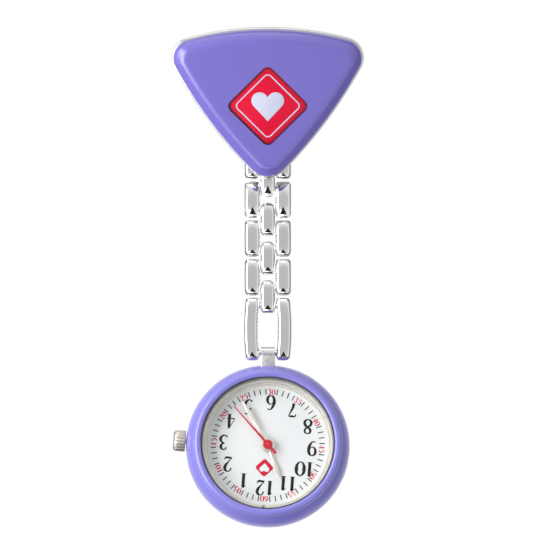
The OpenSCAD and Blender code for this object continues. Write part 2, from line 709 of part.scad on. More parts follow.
module crown() color([0.84, 0.82, 0.79]) in_case() translate([0, 0, stem_z]) difference() {
    union() {
        rod_x(crown_r, [crown_x[0], crown_x[1] - 0.45]);
        translate([crown_x[1] - 0.451, 0, 0]) rotate([0, 90, 0])
            cylinder(r1 = crown_r, r2 = crown_r - 0.5, h = 0.45);
    }
    for (i = [0:crown_flutes - 1]) rotate([360 * i / crown_flutes, 0, 0])
        translate([0, crown_r + 0.08, 0]) rod_x(0.16, [crown_x[0] + 0.25, crown_x[1] - 0.35]);
    rod_x(0.4, [crown_x[0] - 1, crown_x[0] + 1.2]);
    difference() {
        rod_x(1.3, [crown_x[0] - 1, crown_x[0] + 0.4]);
        rod_x(0.7, [crown_x[0] - 1, crown_x[0] + 0.4]);
    }
}
module stem() color([0.7, 0.71, 0.73]) in_case() translate([0, 0, stem_z]) {
    rod_x(0.39, [6.35, crown_x[0] + 1.1]);
    rod_x(0.25, [6, 6.4]);
    rod_x(0.39, [4.6, 6.05]);
    rotate([0, 90, 0]) gear(12, 0.1, [4.7, 5.3]);
}
module setting_lever() color([0.72, 0.73, 0.75]) in_case() {
    translate([5.6, 0.3, 2.35]) cube([1.3, 1.9, 0.2]);
    translate([6.06, 0.27, 2.5]) cube([0.28, 0.5, 0.9]);
}

// ---------- nodes ----------

base_plate();
enamel_cover();
badge_plate();
badge_motif();
pin_bar();
brooch_rivets();
catch_housing();
catch_sleeve();
pin_wire();
brooch_lug();
for (i = [1:pairs]) {
    outer_link(i, -1);
    outer_link(i, 1);
    link_pins(i);
    centre_link(i);
}
end_link(-1);  // end_link_left
end_link(1);  // end_link_right
end_link_pins();
case_body();
case_lug();
case_back();
back_gasket();
crystal();
crystal_gasket();
rehaut_ring();
dial();
movement_ring();
main_plate();
train_bridge();
bridge_screws();
battery();
battery_clip();
circuit_board();
quartz_can();
coil();
stator();
second_hand();
second_wheel();
minute_hand();
centre_wheel();
hour_hand();
hour_wheel();
minute_wheel();
third_wheel();
step_wheel();
rotor();
crown();
stem();
setting_lever();
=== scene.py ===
import json
import math

import bmesh
import bpy
from mathutils import Matrix, Vector

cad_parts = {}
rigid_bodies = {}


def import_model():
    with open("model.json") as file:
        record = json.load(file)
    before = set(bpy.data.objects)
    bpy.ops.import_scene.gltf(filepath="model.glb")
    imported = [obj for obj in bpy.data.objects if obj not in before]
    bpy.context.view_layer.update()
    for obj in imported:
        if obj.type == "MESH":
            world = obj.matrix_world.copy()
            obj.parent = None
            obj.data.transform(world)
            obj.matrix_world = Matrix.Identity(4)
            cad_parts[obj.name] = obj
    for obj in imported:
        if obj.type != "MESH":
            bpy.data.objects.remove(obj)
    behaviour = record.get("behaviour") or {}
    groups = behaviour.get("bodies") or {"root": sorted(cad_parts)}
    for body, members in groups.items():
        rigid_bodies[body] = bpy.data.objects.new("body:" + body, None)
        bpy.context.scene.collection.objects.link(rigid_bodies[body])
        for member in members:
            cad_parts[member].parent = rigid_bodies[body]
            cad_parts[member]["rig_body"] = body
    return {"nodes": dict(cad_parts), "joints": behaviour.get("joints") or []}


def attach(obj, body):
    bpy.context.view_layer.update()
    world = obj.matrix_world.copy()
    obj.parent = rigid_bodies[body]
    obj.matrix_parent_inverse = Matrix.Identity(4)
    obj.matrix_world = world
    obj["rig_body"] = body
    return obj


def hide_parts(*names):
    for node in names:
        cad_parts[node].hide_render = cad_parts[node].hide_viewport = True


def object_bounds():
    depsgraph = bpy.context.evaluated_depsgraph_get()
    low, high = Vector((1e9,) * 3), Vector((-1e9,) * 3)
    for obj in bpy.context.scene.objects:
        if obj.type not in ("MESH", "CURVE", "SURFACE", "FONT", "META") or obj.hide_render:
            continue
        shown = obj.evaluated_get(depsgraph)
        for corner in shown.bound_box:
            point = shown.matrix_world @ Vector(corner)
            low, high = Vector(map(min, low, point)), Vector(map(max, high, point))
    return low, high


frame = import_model()
cad_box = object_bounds()

# ---- Studio: a long lens a little below the watch, which hangs over a pale floor in a white room.
# Polished metal shows what stands round it: grey in front, white at the sides, darker behind, and two black
# flags low in front and underneath, which only its reflections see.

floor_drop = 0.12
aim = Vector((0.00130, 0.0, -0.03655))
camera_distance, camera_lift, view_width = 2.0, -2.0, 0.0931

lens = bpy.data.cameras.new("camera")
lens.sensor_width = 36
lens.lens = 36 * camera_distance / view_width
camera = bpy.data.objects.new("camera", lens)
camera.rotation_euler = (math.radians(90 - camera_lift), 0, 0)
camera.location = aim + camera.rotation_euler.to_matrix() @ Vector((0, 0, camera_distance))
bpy.context.scene.collection.objects.link(camera)
bpy.context.scene.camera = camera
bpy.context.scene.view_settings.view_transform = "Standard"


def soft_light(name, place, width, height, watts):
    panel = bpy.data.lights.new(name, "AREA")
    panel.shape = "RECTANGLE"
    panel.size, panel.size_y, panel.energy = width, height, watts
    lamp = bpy.data.objects.new(name, panel)
    lamp.location = aim + Vector(place)
    lamp.rotation_euler = (-Vector(place)).to_track_quat("-Z", "Y").to_euler()
    bpy.context.scene.collection.objects.link(lamp)


soft_light("key_light", (-0.13, -0.10, 0.01), 0.08, 0.20, 0.33)
soft_light("top_light", (-0.1, -0.2, 0.6), 0.5, 0.3, 0.8)
soft_light("low_light", (-0.10, -0.25, -0.30), 0.2, 0.2, 0.34)


def new_nodes(material):
    """Clears a material and gives its node tree with a Principled shader wired to the output."""
    material.use_nodes = True
    tree = material.node_tree
    tree.nodes.clear()
    out = tree.nodes.new("ShaderNodeOutputMaterial")
    shader = tree.nodes.new("ShaderNodeBsdfPrincipled")
    tree.links.new(shader.outputs[0], out.inputs[0])
    return tree, shader


world = bpy.data.worlds.new("room")
bpy.context.scene.world = world
world.use_nodes = True
room = world.node_tree
room.nodes.clear()
where = room.nodes.new("ShaderNodeTexCoord")
split = room.nodes.new("ShaderNodeSeparateXYZ")
room.links.new(where.outputs["Generated"], split.inputs[0])
depth = room.nodes.new("ShaderNodeMapRange")
depth.inputs["From Min"].default_value = -1
room.links.new(split.outputs["Y"], depth.inputs["Value"])
tones = room.nodes.new("ShaderNodeValToRGB")
ramp = tones.color_ramp.elements
for place, grey in ((0.0, 0.62), (0.05, 0.65), (0.16, 1.0), (0.29, 1.0), (0.36, 0.14), (1.0, 0.06)):
    stop = ramp.new(place)
    stop.color = (grey, grey, grey, 1)
ramp.remove(ramp[0])
ramp.remove(ramp[-1])
room.links.new(depth.outputs[0], tones.inputs[0])
seen = room.nodes.new("ShaderNodeLightPath")
choose = room.nodes.new("ShaderNodeMix")
choose.data_type = "RGBA"
choose.inputs["B"].default_value = (1, 1, 1, 1)
room.links.new(seen.outputs["Is Camera Ray"], choose.inputs["Factor"])
mirrored = room.nodes.new("ShaderNodeMix")
mirrored.data_type = "RGBA"
mirrored.inputs["A"].default_value = (0.58, 0.58, 0.58, 1)
room.links.new(seen.outputs["Is Glossy Ray"], mirrored.inputs["Factor"])
room.links.new(tones.outputs[0], mirrored.inputs["B"])
room.links.new(mirrored.outputs["Result"], choose.inputs["A"])
glow = room.nodes.new("ShaderNodeBackground")
sky = room.nodes.new("ShaderNodeOutputWorld")
room.links.new(choose.outputs["Result"], glow.inputs[0])
room.links.new(glow.outputs[0], sky.inputs[0])


def stage_piece(name, bm, colour, place, rotation=(0, 0, 0)):
    """A thing of the studio, which is not part of the watch."""
    paint = bpy.data.materials.new(name)
    tree, shader = new_nodes(paint)
    shader.inputs["Base Color"].default_value = (*colour, 1)
    shader.inputs["Roughness"].default_value = 0.9
    mesh = bpy.data.meshes.new(name)
    bm.to_mesh(mesh)
    bm.free()
    mesh.materials.append(paint)
    piece = bpy.data.objects.new(name, mesh)
    piece.location = place
    piece.rotation_euler = [math.radians(a) for a in rotation]
    bpy.context.scene.collection.objects.link(piece)
    return piece


bm = bmesh.new()
bmesh.ops.create_circle(bm, cap_ends=True, radius=3.0, segments=96)
floor = stage_piece("floor", bm, (0.88, 0.88, 0.88), (0, 0, cad_box[0][2] - floor_drop))
floor.visible_glossy = False

bm = bmesh.new()
bmesh.ops.create_circle(bm, cap_ends=True, radius=0.095, segments=3)
front_flag = stage_piece("front_flag", bm, (0.005, 0.005, 0.005), (0, -0.15, -0.17), (70, 0, 0))
bm = bmesh.new()
bmesh.ops.create_grid(bm, x_segments=1, y_segments=1, size=0.09)
under_flag = stage_piece("under_flag", bm, (0.005, 0.005, 0.005), aim + Vector((0, -0.03, -0.2)))
for flag in (front_flag, under_flag):
    flag.visible_camera = flag.visible_diffuse = flag.visible_shadow = False

# ---- Brooch base plate: a stamped plate of nickel-plated steel, cut to a rounded triangle with bowed sides.
# The enamelled cover is bonded to its front, and its rim stands out a little round the cover.

MM = 0.001
joints = {j["name"]: j for j in frame["joints"]}
scale = Matrix.Scale(MM, 4)
# Drawings are in millimetres in xy, with z to the front
upright = Matrix.Rotation(math.radians(90), 4, "X")
pin_axis = Vector(joints["pin_swing"]["axis"])
brooch = Matrix.Rotation(math.atan2(-pin_axis.y, pin_axis.z), 4, "X") @ upright @ scale


def finished(name, bm, finish, body, place, stands_for=(), sharp=32):
    """Turns a drawing in millimetres into a piece of the watch, in its place."""
    bmesh.ops.transform(bm, matrix=place, verts=bm.verts)
    bmesh.ops.recalc_face_normals(bm, faces=bm.faces)
    mesh = bpy.data.meshes.new(name)
    bm.to_mesh(mesh)
    bm.free()
    mesh.polygons.foreach_set("use_smooth", [True] * len(mesh.polygons))
    mesh.set_sharp_from_angle(angle=math.radians(sharp))
    mesh.materials.append(finish)
    piece = bpy.data.objects.new(name, mesh)
    bpy.context.scene.collection.objects.link(piece)
    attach(piece, body)
    if stands_for:
        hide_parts(*stands_for)
    return piece


def texture_noise(tree, size, detail=3.0, stretch=(1, 1, 1)):
    """Noise on the piece's own coordinates, with features of about that size in millimetres."""
    where = tree.nodes.new("ShaderNodeTexCoord")
    scaled = tree.nodes.new("ShaderNodeMapping")
    scaled.inputs["Scale"].default_value = [1000 / size * s for s in stretch]
    noise = tree.nodes.new("ShaderNodeTexNoise")
    noise.inputs["Scale"].default_value = 1.0
    noise.inputs["Detail"].default_value = detail
    tree.links.new(where.outputs["Object"], scaled.inputs[0])
    tree.links.new(scaled.outputs[0], noise.inputs["Vector"])
    return noise.outputs[0]


def spread(tree, value, least, most):
    """Maps a texture's middle range to least..most."""
    band = tree.nodes.new("ShaderNodeMapRange")
    band.inputs["From Min"].default_value, band.inputs["From Max"].default_value = 0.3, 0.7
    band.inputs["To Min"].default_value, band.inputs["To Max"].default_value = least, most
    tree.links.new(value, band.inputs["Value"])
    return band.outputs[0]


def two_tones(tree, value, first, second):
    tones = tree.nodes.new("ShaderNodeMix")
    tones.data_type = "RGBA"
    tones.inputs["A"].default_value, tones.inputs["B"].default_value = (*first, 1), (*second, 1)
    tree.links.new(value, tones.inputs["Factor"])
    return tones.outputs["Result"]


def relief(tree, shader, height, depth_mm, strength=1.0):
    bump = tree.nodes.new("ShaderNodeBump")
    bump.inputs["Strength"].default_value = strength
    bump.inputs["Distance"].default_value = depth_mm * MM
    tree.links.new(height, bump.inputs["Height"])
    tree.links.new(bump.outputs[0], shader.inputs["Normal"])


def metal(name, colour, rough, grain=(1, 1, 1), grain_mm=0.4, depth_mm=0.0006, tint=0.93):
    """Plated, polished or brushed metal: faint hairlines, slightly uneven tone and gloss."""
    finish = bpy.data.materials.new(name)
    tree, shader = new_nodes(finish)
    shader.inputs["Metallic"].default_value = 1.0
    cloud = texture_noise(tree, 4.0, 2)
    tone = two_tones(tree, spread(tree, cloud, 0, 1), colour, [c * tint for c in colour])
    tree.links.new(tone, shader.inputs["Base Color"])
    hairs = texture_noise(tree, grain_mm, 4, grain)
    tree.links.new(spread(tree, hairs, rough * 0.75, rough * 1.3), shader.inputs["Roughness"])
    relief(tree, shader, hairs, depth_mm)
    return finish


def arc(bm, centre, start, degrees, steps):
    """An arc of edges in the drawing plane, from a start point round a centre."""
    v = bm.verts.new((*start, 0))
    bmesh.ops.spin(bm, geom=[v], cent=(*centre, 0), axis=(0, 0, 1), angle=math.radians(degrees),
                   steps=steps, use_duplicate=False)


def bow_centre(c1, r1, c2, r2, bow):
    """Centre of a large arc that touches two corner circles from outside."""
    gap = c2 - c1
    d, a, b = gap.length, bow - r1, bow - r2
    t = (a * a - b * b + d * d) / (2 * d)
    u = gap / d
    return c1 + t * u + math.sqrt(a * a - t * t) * Vector((-u.y, u.x))


def heading(v):
    return math.degrees(math.atan2(v.y, v.x))


brooch_half, brooch_top, brooch_tip = 15.9, 5.4, -19.0
corner_r, tip_r, top_bow, side_bow = 3.2, 3.8, 52.0, 80.0
right_corner = Vector((brooch_half - corner_r, brooch_top - 1.1 - corner_r))
left_corner = Vector((-right_corner.x, right_corner.y))
tip_corner = Vector((0, brooch_tip + tip_r))
top_o = bow_centre(right_corner, corner_r, left_corner, corner_r, top_bow)
left_o = bow_centre(left_corner, corner_r, tip_corner, tip_r, side_bow)
right_o = bow_centre(tip_corner, tip_r, right_corner, corner_r, side_bow)
plate_back, seam, cover_front = 4.2, 5.4, 8.0


def raised(bm, z):
    bmesh.ops.translate(bm, verts=bm.verts, vec=(0, 0, z))


def brooch_face(bm, grow, z):
    """The rounded triangle as one face, grown by so much, at a height in the drawing."""
    rounds = [(right_corner, corner_r + grow, right_corner - right_o, right_corner - top_o, 20),
              (top_o, top_bow + grow, right_corner - top_o, left_corner - top_o, 30),
              (left_corner, corner_r + grow, left_corner - top_o, left_corner - left_o, 20),
              (left_o, side_bow + grow, left_corner - left_o, tip_corner - left_o, 24),
              (tip_corner, tip_r + grow, tip_corner - left_o, tip_corner - right_o, 20),
              (right_o, side_bow + grow, tip_corner - right_o, right_corner - right_o, 24)]
    for centre, r, first, last, steps in rounds:
        sweep = (heading(last) - heading(first) + 720) % 360
        arc(bm, centre, centre + r * first.normalized(), sweep, steps)
    bmesh.ops.remove_doubles(bm, verts=bm.verts, dist=1e-3)
    bmesh.ops.edgeloop_fill(bm, edges=bm.edges[:])
    raised(bm, z)


def thicken(bm, height):
    """Pulls all faces up into a closed solid and gives its rim edges, lower and upper."""
    pulled = bmesh.ops.extrude_face_region(bm, geom=bm.faces[:])["geom"]
    bmesh.ops.translate(bm, verts=[g for g in pulled if isinstance(g, bmesh.types.BMVert)],
                        vec=(0, 0, height))
    bmesh.ops.recalc_face_normals(bm, faces=bm.faces)
    rim = [e for e in bm.edges if e.calc_face_angle(0) > 1.0]
    heights = [sum(v.co.z for v in e.verts) / 2 for e in rim]
    mid = (min(heights) + max(heights)) / 2
    return [e for e, h in zip(rim, heights) if h < mid], [e for e, h in zip(rim, heights) if h >= mid]


def round_over(bm, edges, radius, steps):
    bmesh.ops.bevel(bm, geom=edges, offset=radius, offset_type="OFFSET", segments=steps, profile=0.5,
                    affect="EDGES", clamp_overlap=False, material=-1)


nickel = metal("nickel_plate", (0.78, 0.78, 0.78), 0.2, (1, 1, 1), 0.5)
bm = bmesh.new()
brooch_face(bm, 0.3, plate_back)
lower, upper = thicken(bm, seam - plate_back)
round_over(bm, lower + upper, 0.25, 4)
finished("base_plate", bm, nickel, "brooch", brooch, ["base_plate"])

# ---- Enamelled cover: a stamped shell with a wide rounded edge, sprayed pearl lilac and clear-coated.
# A shallow pocket for the badge is pressed in below the middle.


def enamel(name, colour, shade, rough=0.28, coat=0.5, flake_mm=0.12, orange_peel=0.002, shine=0.5, haze=0.08):
    """Sprayed pearl paint under clear coat: fine flake, soft clouding and a slight orange peel."""
    finish = bpy.data.materials.new(name)
    tree, shader = new_nodes(finish)
    shader.inputs["Coat Weight"].default_value = coat
    shader.inputs["Specular IOR Level"].default_value = shine
    shader.inputs["Coat Roughness"].default_value = haze
    shader.inputs["Coat IOR"].default_value = 1.5
    clouds = spread(tree, texture_noise(tree, 9.0, 2), 0, 0.6)
    flake = spread(tree, texture_noise(tree, flake_mm, 1), 0, 0.2)
    both = tree.nodes.new("ShaderNodeMath")
    tree.links.new(clouds, both.inputs[0])
    tree.links.new(flake, both.inputs[1])
    tree.links.new(two_tones(tree, both.outputs[0], colour, shade), shader.inputs["Base Color"])
    peel = texture_noise(tree, 0.9, 2)
    tree.links.new(spread(tree, peel, rough * 0.95, rough * 1.05), shader.inputs["Roughness"])
    relief(tree, shader, peel, orange_peel, 0.06)
    return finish


def rounded_square(bm, half, corner, steps=6):
    bmesh.ops.create_grid(bm, x_segments=1, y_segments=1, size=half)
    bmesh.ops.bevel(bm, geom=bm.verts[:], offset=corner, offset_type="OFFSET", segments=steps, profile=0.5,
                    affect="VERTICES", clamp_overlap=False, material=-1)


def cut_out(piece, bm, place):
    """Cuts the shape of a drawing out of a piece."""
    bmesh.ops.transform(bm, matrix=place, verts=bm.verts)
    bmesh.ops.recalc_face_normals(bm, faces=bm.faces)
    mesh = bpy.data.meshes.new("cutter")
    bm.to_mesh(mesh)
    bm.free()
    cutter = bpy.data.objects.new("cutter", mesh)
    bpy.context.scene.collection.objects.link(cutter)
    cut = piece.modifiers.new("cut", "BOOLEAN")
    cut.object, cut.operation, cut.solver = cutter, "DIFFERENCE", "EXACT"
    bpy.context.view_layer.update()
    done = bpy.data.meshes.new_from_object(piece.evaluated_get(bpy.context.evaluated_depsgraph_get()))
    piece.modifiers.remove(cut)
    old, piece.data = piece.data, done
    bpy.data.meshes.remove(old)
    bpy.data.objects.remove(cutter)
    bpy.data.meshes.remove(mesh)


lilac = enamel("lilac_enamel", (0.152, 0.124, 0.49), (0.145, 0.117, 0.47), 0.3, 0.7, haze=0.22)
slope_width, slope_height = 1.7, 1.15
bm = bmesh.new()
brooch_face(bm, 0.0, seam)
thicken(bm, cover_front - seam - slope_height)
front = max(bm.faces, key=lambda f: f.calc_center_median().z)
bmesh.ops.inset_region(bm, faces=[front], thickness=slope_width, depth=slope_height, use_even_offset=True)
round_over(bm, [e for e in bm.edges if e.calc_face_angle(0) > 0.4 and e.verts[0].co.z > seam + 0.1], 0.55, 5)
front = max(bm.faces, key=lambda f: f.calc_center_median().z)
bmesh.ops.inset_region(bm, faces=[front], thickness=0.25, use_even_offset=True)
cover = finished("enamel_cover", bm, lilac, "brooch", brooch, ["enamel_cover"])

badge_middle = Vector((0, -6.7, 0))
badge = brooch @ Matrix.Translation(badge_middle) @ Matrix.Rotation(math.radians(45), 4, "Z")
bm = bmesh.new()
rounded_square(bm, 5.05, 1.15)
raised(bm, cover_front - 0.85)
thicken(bm, 2.0)
cut_out(cover, bm, badge)

# ---- Badge: a small square plate set on its corner in the pocket, red enamel with a darker edge.
# A thin white line and a white heart are printed on it.

red = enamel("red_enamel", (0.68, 0.006, 0.038), (0.60, 0.005, 0.032), 0.25, 0.0, 0.08, 0.002, 0.2)
dark_red = enamel("dark_red_edge", (0.36, 0.004, 0.022), (0.30, 0.003, 0.018), 0.25, 0.1, 0.08, 0.002, 0.4)
white_print = enamel("white_print", (0.57, 0.59, 0.74), (0.54, 0.56, 0.71), 0.35, 0.3, 0.1, 0.001, 0.3)
badge_face = cover_front - 0.35

bm = bmesh.new()
rounded_square(bm, 5.0, 1.1)
raised(bm, badge_face - 0.5)
round_over(bm, thicken(bm, 0.5)[1], 0.12, 3)
finished("badge_plate", bm, dark_red, "brooch", badge, ["badge_plate"])

bm = bmesh.new()
rounded_square(bm, 4.6, 0.9)
raised(bm, badge_face - 0.1)
round_over(bm, thicken(bm, 0.14)[1], 0.06, 2)
finished("badge_field", bm, red, "brooch", badge)

bm = bmesh.new()
rounded_square(bm, 4.05, 0.85)
line = bmesh.ops.inset_region(bm, faces=bm.faces[:], thickness=0.2, use_even_offset=True,
                               use_boundary=True)["faces"]
bmesh.ops.delete(bm, geom=[f for f in bm.faces if f not in line], context="FACES")
raised(bm, badge_face - 0.02)
thicken(bm, 0.08)
finished("badge_line", bm, white_print, "brooch", badge)


def heart(bm, width, steps=18):
    """A heart in the drawing plane, made of two lobes and two straight flanks."""
    r = width * 0.265
    lobe = Vector((r * 0.93, r * 0.62))
    foot = Vector((0, -width * 0.49))
    reach = (foot - lobe).length
    lean = heading(foot - lobe) + math.degrees(math.acos(r / reach))
    cleft = math.degrees(math.acos(-lobe.x / r))
    for side in (1, -1):
        c = Vector((lobe.x * side, lobe.y))
        a0, a1 = lean, cleft
        if side < 0:
            a0, a1 = 180 - cleft, 180 - lean
        start = c + r * Vector((math.cos(math.radians(a0)), math.sin(math.radians(a0))))
        arc(bm, c, start, (a1 - a0 + 720) % 360, steps)
    foot_v = bm.verts.new((*foot, 0))
    bmesh.ops.remove_doubles(bm, verts=bm.verts, dist=1e-3)
    bm.verts.ensure_lookup_table()
    ends = [v for v in bm.verts if len(v.link_edges) == 1]
    for v in ends:
        bm.edges.new((v, foot_v))
    bmesh.ops.edgeloop_fill(bm, edges=bm.edges[:])


bm = bmesh.new()
heart(bm, 5.4)
raised(bm, badge_face - 0.02)
round_over(bm, thicken(bm, 0.12)[1], 0.05, 2)
finished("badge_motif", bm, white_print, "brooch",
         brooch @ Matrix.Translation(badge_middle), ["badge_motif"])

# ---- Brooch pin: a riveted steel bar with two hinge ears, a spring wire with a ground point, and a
# roll-over safety catch. Their edges are tumbled, so each is softened a little.


def softened(node, finish, width, angle=40):
    """The CAD node with its sharp edges rounded over."""
    bm = bmesh.new()
    bm.from_mesh(frame["nodes"][node].data)
    bmesh.ops.remove_doubles(bm, verts=bm.verts, dist=2e-6)
    bmesh.ops.dissolve_limit(bm, angle_limit=math.radians(1.0), verts=bm.verts, edges=bm.edges)
    edges = [e for e in bm.edges if e.is_manifold and e.calc_face_angle(0) > math.radians(angle)]
    bmesh.ops.bevel(bm, geom=edges, offset=width * MM, offset_type="OFFSET", segments=2, profile=0.5,
                    affect="EDGES", clamp_overlap=True, material=-1)
    body = frame["nodes"][node]["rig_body"]
    return finished(node + "_piece", bm, finish, body, Matrix.Identity(4), [node])


spring_wire = metal("spring_wire", (0.78, 0.78, 0.79), 0.2, (12, 1, 12), 0.6)
for node, width in (("pin_bar", 0.06), ("brooch_rivets", 0.04), ("catch_housing", 0.06),
                    ("catch_sleeve", 0.05)):
    softened(node, nickel, width)
softened("pin_wire", spring_wire, 0.03)
softened("brooch_lug", nickel, 0.1)

# ---- Chain: solid links of plated steel, cast with crowned faces and barrelled sides and then polished.
# Cross pins are pressed into the side blocks, and the narrow centre links turn on them.

chrome = metal("polished_links", (0.80, 0.80, 0.805), 0.09, (1, 1, 1), 0.35, 0.0004, 0.95)
link_half_t = 1.1
past_pin = 1.29
crown_r = 3.2


def link(bm, x0, x1, half, corners, edge, barrel=0.0, bow=0.0, fall_r=3.0, fall_from=1.9):
    """A block from x0 to x1 across: top and bottom corners, rounded edges, sides barrelled or bowed outwards,
    and a front and back that fall away towards their sides and ends."""
    wide, mid = x1 - x0, (x0 + x1) / 2
    bmesh.ops.create_grid(bm, x_segments=1, y_segments=1, size=0.5)
    bmesh.ops.scale(bm, verts=bm.verts, vec=(wide, 2 * half, 1))
    for sign, corner in ((1, corners[0]), (-1, corners[1])):
        corner_verts = [v for v in bm.verts if v.co.y * sign > half - 0.01 and len(v.link_edges) == 2]
        bmesh.ops.bevel(bm, geom=corner_verts, offset=corner, offset_type="OFFSET", segments=7, profile=0.5,
                        affect="VERTICES", clamp_overlap=False, material=-1)
    reach = half - max(corners)
    rows = [(0, reach * (i / 5 - 1), 0, 1) for i in range(11)]
    columns = [(wide * (i / 8 - 0.5), 0, 1, 0) for i in range(2, 7)]
    for x, y, nx, ny in rows + columns:
        bmesh.ops.bisect_plane(bm, geom=bm.verts[:] + bm.edges[:] + bm.faces[:], dist=1e-4,
                               plane_co=(x, y, 0), plane_no=(nx, ny, 0))
    raised(bm, -link_half_t)
    lower, upper = thicken(bm, 2 * link_half_t)
    round_over(bm, lower + upper, edge, 8)
    for v in bm.verts:
        t = v.co.y / half
        over = max(0.0, abs(v.co.y) - (half - fall_from))
        fall = v.co.x ** 2 / (2 * crown_r) + over ** 2 / (2 * fall_r)
        v.co.z *= 1 - fall / link_half_t
        v.co.x = v.co.x * (1 + barrel * (0.5 - t * t)) + mid + bow * (1 - t * t)


def at_height(z):
    return Matrix.Translation((0, joints["pair_1_swing"]["pos_m"][1], z)) @ upright @ scale


def pin_ends(bm, heights, reach):
    """The faces of the cross pins, flush in the outer sides of a pair."""
    for side in (-1, 1):
        for y in heights:
            seat = Matrix.Translation((side * reach, y, 0)) @ Matrix.Rotation(math.radians(90), 4, "Y")
            bmesh.ops.create_cone(bm, cap_ends=True, segments=24, radius1=0.5, radius2=0.5, depth=0.12,
                                  matrix=seat)


def pair_of_blocks(number, body, upper_pin, lower_pin, nodes, barrel, bow, edge_in, edge_out,
                   falls=(3.0, 1.9)):
    mid = (upper_pin + lower_pin) / 2
    half = (upper_pin - lower_pin) / 2 / MM + past_pin
    for side, node in ((-1, nodes[0]), (1, nodes[1])):
        bm = bmesh.new()
        link(bm, edge_in, edge_out, half, (0.5, 0.75), 0.5, barrel, bow, *falls)
        if side < 0:
            bmesh.ops.scale(bm, verts=bm.verts, vec=(-1, 1, 1))
        finished(node + "_block", bm, chrome, body, at_height(mid), [node])
    bm = bmesh.new()
    pin_ends(bm, [half - past_pin, past_pin - half], edge_out - 0.04)
    finished(f"pin_ends_{number}", bm, nickel, body, at_height(mid))


def height_of(name):
    return joints[name]["pos_m"][2]


for i in range(1, 5):
    upper_pin, lower_pin = height_of(f"pair_{i}_swing"), height_of(f"centre_{i}_swing")
    pair_of_blocks(i, f"pair_{i}", upper_pin, lower_pin, (f"outer_link_{i}_left", f"outer_link_{i}_right"),
                   0.07, 0.0, 1.33, 3.92, (6.0, 3.4) if i == 2 else (3.0, 1.9))
    below = height_of(f"pair_{i + 1}_swing") if i < 4 else height_of("end_link_swing")
    bm = bmesh.new()
    link(bm, -1.2, 1.2, (lower_pin - below) / 2 / MM + past_pin, (0.95, 0.6), 0.5, 0.08, 0.0,
         *((6.5, 3.6) if i == 1 else (3.0, 1.9)))
    finished(f"centre_link_{i}_block", bm, chrome, f"centre_{i}",
             at_height((lower_pin + below) / 2), [f"centre_link_{i}"])
pair_of_blocks(5, "end_link", height_of("end_link_swing"), height_of("watch_head_swing"),
               ("end_link_left", "end_link_right"), 0.0, 0.32, 1.36, 3.72)


def dressed(node, finish):
    """Gives a CAD node that is shown as it is its material."""
    frame["nodes"][node].data.materials.clear()
    frame["nodes"][node].data.materials.append(finish)


for node in ["link_pins_1", "link_pins_2", "link_pins_3", "link_pins_4", "end_link_pins"]:
    dressed(node, spring_wire)

# ---- Watch case: die-cast alloy with a round flank and a narrower bezel roll, sprayed in the same
# pearl lilac. A nickel lug is soldered into its top edge and takes the end link's lower pin.

face_axis = -Vector(joints["minute_spin"]["axis"])
crown_axis = Vector(joints["crown_pull"]["axis"])
twelve_axis = face_axis.cross(crown_axis)
bench = Matrix.Translation(Vector(joints["minute_spin"]["pos_m"]) - 3 * MM * face_axis) @ Matrix(
    [[crown_axis[i], twelve_axis[i], face_axis[i], 0] for i in range(3)] + [[0, 0, 0, 1]]) @ scale


def turned(bm, degrees=360.0, steps=180, start=90.0):
    """Spins a half section, drawn in xz, about the z axis."""
    bmesh.ops.rotate(bm, verts=bm.verts, cent=(0, 0, 0), matrix=Matrix.Rotation(math.radians(start), 3, "Z"))
    bmesh.ops.spin(bm, geom=bm.verts[:] + bm.edges[:], cent=(0, 0, 0), axis=(0, 0, 1),
                   angle=math.radians(degrees), steps=steps, use_merge=degrees >= 360, use_duplicate=False)
    bmesh.ops.remove_doubles(bm, verts=bm.verts, dist=1e-4)


def section(bm, *parts):
    """A closed half section in xz from points (r, z) and arcs (centre_r, centre_z, radius, from, to, steps)."""
    ring = []
    for part in parts:
        if len(part) == 2:
            ring.append(bm.verts.new((part[0], 0, part[1])))
            continue
        cr, cz, r, a0, a1, n = part
        for i in range(n + 1):
            a = math.radians(a0 + (a1 - a0) * i / n)
            ring.append(bm.verts.new((cr + r * math.cos(a), 0, cz + r * math.sin(a))))
    for a, b in zip(ring, ring[1:] + ring[:1]):
        bm.edges.new((a, b))


case_lilac = enamel("case_lilac", (0.205, 0.188, 0.62), (0.197, 0.178, 0.60), 0.32, 1.0, haze=0.26)
bm = bmesh.new()
section(bm, (11.05, 0.6), (12.0, 0.6, 0.08, -90, -60, 3), (10.25, 3.7, 3.59, -59, 62, 26),
        (11.85, 7.1, 0.75, -28, 128, 14), (11.33, 7.55), (11.33, 5.0), (10.5, 5.0), (10.5, 4.65), (11.05, 4.65))
turned(bm)
finished("case_body", bm, case_lilac, "watch_head", bench, ["case_body"], sharp=38)

